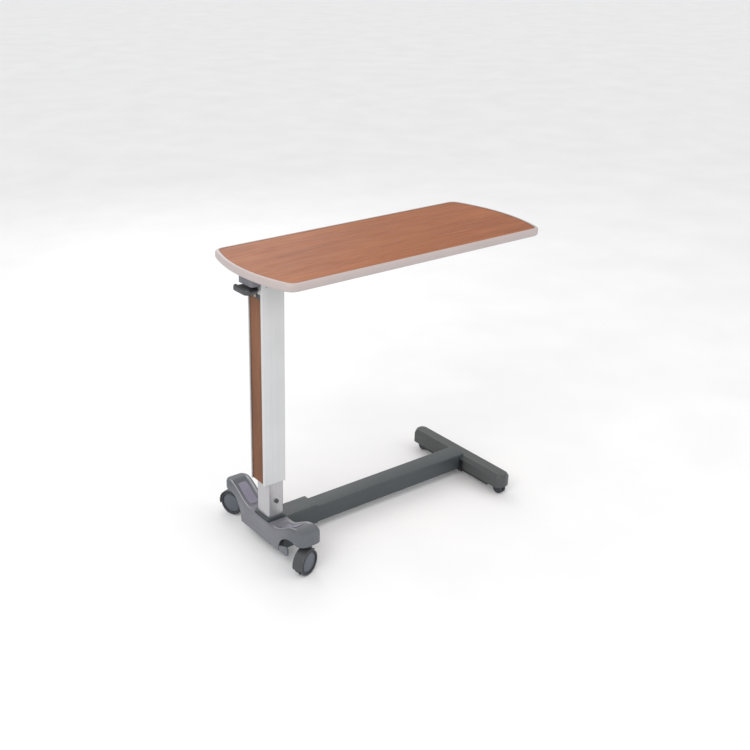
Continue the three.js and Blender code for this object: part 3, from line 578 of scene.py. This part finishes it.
def ridge(y):
    """Height of the cover's top: a level waist, an S-curve up to each hump, and a slight fall."""
    away = abs(y)
    if away > HUMP_PEAK:
        return HUMP_TOP - HUMP_FALL * ((away - HUMP_PEAK) / HUMP_FALL_REACH) ** 2
    rise = smoothstep((away - WAIST_HALF) / (HUMP_PEAK - WAIST_HALF))
    return WAIST_TOP + (HUMP_TOP - WAIST_TOP) * rise


def end_drop(y):
    """How far the top rounds down towards each end."""
    end = plan_end(y)[0]
    t = (abs(y) - (end - END_ROUND)) / END_ROUND
    return 0.0 if t <= 0 else END_ROUND * (1 - math.sqrt(max(1 - t * t, 0.0)))


def arch(y):
    """Height of the cover's lower edge."""
    points = FRONT_ARCH if y < 0 else REAR_ARCH
    away = abs(y)
    if away <= points[0][0]:
        return COVER_BASE
    for (y0, z0), (y1, z1) in zip(points, points[1:]):
        if away <= y1:
            return z0 + (z1 - z0) * (away - y0) / (y1 - y0)
    return points[-1][1]


def half_width(y):
    """Half the cover's width: straight sides and rounded ends."""
    end, corner_shade = plan_end(y)
    inside = abs(y) - (end - corner_shade)
    if inside <= 0:
        return COVER_HALF
    return COVER_HALF - corner_shade + math.sqrt(max(corner_shade * corner_shade - inside * inside, 0.0))


def dish(y):
    """Depth of the channel."""
    near = smoothstep((abs(y) - DISH_START) / DISH_EASE)
    far = smoothstep((DISH_END - abs(y)) / DISH_EASE)
    return DISH_DEPTH * near * far


def cover_section(y):
    """Points (x, z) from one lower edge over the top to the other lower edge."""
    half = max(half_width(y), LEAST_HALF)
    top = ridge(y) - end_drop(y)
    low = min(arch(y), top - LEAST_SKIRT)
    shoulder = min(SHOULDER, half * SHOULDER_SHARE, top - low)
    flat = half - shoulder
    sink = dish(y)
    bead = BEAD_HEIGHT * sink / DISH_DEPTH
    wall = [(-half, low + (top - shoulder - low) * t) for t in WALL_SHARES]
    bend = [(-half + shoulder * (1 - math.cos(a)), top - shoulder * (1 - math.sin(a)))
            for a in quarter_turn(BEND_STEPS)]
    rim = [(-flat + min(inward, flat * share), top + bead * up - sink * down)
           for inward, share, up, down in BEAD_PROFILE]
    channel = [(-flat * share, top - sink) for share in CHANNEL_SHARES]
    return mirrored(wall + bend + rim + channel)


def cover_stations():
    """Distances along the foot, close together where the ends turn."""
    start = FRONT_CORNER - FRONT_END + STATION_START
    count = int((FRONT_END + REAR_END - FRONT_CORNER - REAR_CORNER) / STATION_STEP)
    straight = [start + i * STATION_STEP for i in range(count)]
    front = [FRONT_CORNER * (1 - math.sin(a)) - FRONT_END for a in quarter_turn(FRONT_STEPS)]
    rear = [REAR_END - REAR_CORNER * (1 - math.sin(a)) for a in quarter_turn(REAR_STEPS)]
    return sorted({round(y, 3) for y in front + straight + rear})


def build_guard(side):
    """A flat plate that reaches forward from one skirt, with a rounded nose."""
    face = side * (COVER_HALF - COVER_WALL + GUARD_LAP)
    back = side * (COVER_HALF - COVER_WALL - GUARD_WALL)
    inset = [GUARD_ROUND * (1 - math.sin(a)) for a in quarter_turn(GUARD_STEPS)]
    rise = [GUARD_ROUND * (1 - math.cos(a)) for a in quarter_turn(GUARD_STEPS)]
    toe = [(GUARD_END - i, COVER_BASE + r) for i, r in zip(inset, rise)]
    brow = [(GUARD_END - r, GUARD_TOP - i) for i, r in zip(inset, rise)]
    root = [(FRONT_ARCH[0][0] + GUARD_ROOT_LENGTH, GUARD_ROOT), (GUARD_START, GUARD_ROOT)]
    outline = [(GUARD_START, COVER_BASE)] + toe + brow + root
    rows = [[(x, -y, z) for y, z in outline + outline[:1]] for x in (face, back)]
    return skin("guard", rows, COVER_ORIGIN, closed_ends=(0, -1))


def cut_beam_opening(shell):
    """Opens the side of the cover that the beam comes through."""
    low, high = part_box("beam")
    inside = COVER_HIGH.x - BEAM_CUT_INSIDE
    outside = COVER_HIGH.x + BEAM_CUT_OUTSIDE
    cut_box(shell, Vector((inside, low.y - BEAM_CLEARANCE, low.z - BEAM_CUT_BELOW)),
            Vector((outside, high.y + BEAM_CLEARANCE, high.z + BEAM_CLEARANCE)))


def build_cover():
    rows = [[(x, y, z) for x, z in cover_section(y)] for y in cover_stations()]
    shell = skin("foot_cover_shell", rows, COVER_ORIGIN, closed_ends=(0, -1))
    thicken(shell, COVER_WALL)
    collar_low, collar_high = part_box("column_collar")
    cut_box(shell, collar_low - COLLAR_CLEARANCE, collar_high + COLLAR_CLEARANCE)
    cut_beam_opening(shell)
    for side in (-1, 1):
        combine(shell, build_guard(side), "UNION")
    dress(shell, "cover_plastic", "foot_cover")


def inlay_section(y):
    """A closed ring of points (x, z) round the inlay at a distance y along the foot."""
    gap = min(y - INLAY_START, INLAY_END - y)
    inside = max(INLAY_CORNER - gap, 0.0)
    reach = max(math.sqrt(INLAY_CORNER ** 2 - inside ** 2), INLAY_LEAST_CORNER)
    half = INLAY_HALF - INLAY_CORNER + reach
    t = min(1.0, gap / INLAY_ROUND)
    thick = INLAY_THIN + (INLAY_THICK - INLAY_THIN) * math.sqrt(t * (2 - t))
    base = ridge(y) - dish(y) + INLAY_GAP
    side = [(-half + inward, base + thick * share) for inward, share in INLAY_PROFILE]
    return mirrored(side + [(0.0, base + thick + INLAY_CROWN)]) + [(0.0, base), side[0]]


def build_inlay(name, node, side):
    """A crowned plate with rounded corners that lies in the channel of one slope."""
    length = INLAY_END - INLAY_START
    stations = [INLAY_START + length * i / INLAY_STEPS for i in range(INLAY_STEPS + 1)]
    rows = [[(x, side * y, z) for x, z in inlay_section(y)] for y in stations]
    plate = skin(name, rows, COVER_ORIGIN, closed_ends=(0, -1))
    dress(plate, "inlay_plastic", node)


# ---------------------------------------------------------------- end caps of the far foot
def far_cap_section(along, half, depth, reach):
    """Points (x, z) from one lower edge over the bevels and the top to the other lower edge."""
    width = max(half * math.sqrt(max(1 - (along / reach) ** 2, 0.0)), LEAST_HALF)
    fall = max(along - (reach - FAR_TOP_ROUND), 0.0)
    top = depth - FAR_TOP_ROUND + math.sqrt(FAR_TOP_ROUND ** 2 - fall ** 2)
    flat = max(width - FAR_BEVEL_WIDTH, FAR_LEAST_FLAT)
    rim = min(FAR_BEVEL_START, top - (width - flat) * (depth - FAR_BEVEL_START) / FAR_BEVEL_WIDTH)
    side = [(-width, 0.0), (-width, rim / 2), (-width, rim - FAR_RIM_BELOW)]
    bevel = [(-width + FAR_RIM_IN, rim + FAR_RIM_UP), (-flat - FAR_TOP_OUT, top - FAR_TOP_DOWN)]
    return mirrored(side + bevel + [(-flat + FAR_TOP_IN * flat / half, top), (0.0, top)])


def build_far_cap(name, node, side):
    """A hollow cap whose sides, bevels and top all round in towards its end."""
    low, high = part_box(node)
    half = (high.x - low.x) / 2 / MM
    depth = (high.z - low.z) / MM
    reach = (high.y - low.y) / MM
    stations = [reach * math.sin(a) for a in quarter_turn(FAR_STEPS)]
    rows = []
    for along in stations:
        section = far_cap_section(along, half, depth, reach)
        rows.append([(x, side * along, z) for x, z in section])
    origin = Vector((box_middle(node).x, low.y if side > 0 else high.y, low.z))
    cap = skin(name, rows, origin, closed_ends=(-1,))
    thicken(cap, FAR_WALL)
    dress(cap, "foot_paint", node)


# ---------------------------------------------------------------- stage
def build_floor():
    mesh = bpy.data.meshes.new("floor")
    corners = [(-1, -1), (1, -1), (1, 1), (-1, 1)]
    mesh.from_pydata([(x * FLOOR_REACH, y * FLOOR_REACH, 0) for x, y in corners], [], [(0, 1, 2, 3)])
    floor = bpy.data.objects.new("floor", mesh)
    bpy.context.collection.objects.link(floor)
    m = Builder("pale_floor")
    m.paint(m.mix(m.remap(m.noise(3.0), *NOISE_BODY), (0.86, 0.86, 0.87, 1.0), (0.9, 0.9, 0.9, 1.0)))
    m.roughen(0.7)
    floor.data.materials.append(m.material)


def area_light(name, place, size, watts):
    """A round lamp that faces the table."""
    light = bpy.data.lights.new(name, "AREA")
    light.shape = "DISK"
    light.size = size
    light.energy = watts
    lamp = bpy.data.objects.new(name, light)
    bpy.context.collection.objects.link(lamp)
    lamp.location = place
    lamp.rotation_mode = "QUATERNION"
    lamp.rotation_quaternion = (LIGHT_TARGET - Vector(place)).to_track_quat("-Z", "Y")


def build_lights():
    world = bpy.data.worlds.new("studio")
    bpy.context.scene.world = world
    world.use_nodes = True
    sky = world.node_tree.nodes["Background"]
    sky.inputs["Color"].default_value = (1.0, 1.0, 1.0, 1.0)
    sky.inputs["Strength"].default_value = SKY_STRENGTH
    area_light("key", (-2.4, -1.2, 2.6), size=2.2, watts=38.0)
    area_light("fill", (1.6, -2.6, 1.6), size=2.4, watts=10.0)
    area_light("rim", (0.8, 2.6, 2.2), size=2.0, watts=15.0)


def build_camera():
    level = math.cos(CAMERA_ELEVATION)
    back = Vector((math.sin(CAMERA_AZIMUTH) * level, -math.cos(CAMERA_AZIMUTH) * level,
                   math.sin(CAMERA_ELEVATION)))
    right = Vector((math.cos(CAMERA_AZIMUTH), math.sin(CAMERA_AZIMUTH), 0.0))
    up = back.cross(right)
    place = (TOP_MIDDLE + CAMERA_TARGET + back * CAMERA_DISTANCE
             + right * CAMERA_SHIFT_RIGHT + up * CAMERA_SHIFT_UP)
    data = bpy.data.cameras.new("camera")
    data.sensor_width = SENSOR_WIDTH
    data.lens = SENSOR_WIDTH * FOCAL_SHARE
    data.shift_x = LENS_SHIFT
    camera = bpy.data.objects.new("camera", data)
    bpy.context.collection.objects.link(camera)
    camera.matrix_world = Matrix.Translation(place) @ Matrix((right, up, back)).transposed().to_4x4()
    bpy.context.scene.camera = camera
    bpy.context.scene.view_settings.view_transform = "Standard"


dress_nodes()
build_cover()
build_inlay("inlay_front", "cover_inlay_front", -1)
build_inlay("inlay_rear", "cover_inlay_rear", 1)
build_far_cap("far_cap_front_skin", "far_cap_front", -1)
build_far_cap("far_cap_rear_skin", "far_cap_rear", 1)
build_floor()
build_lights()
build_camera()
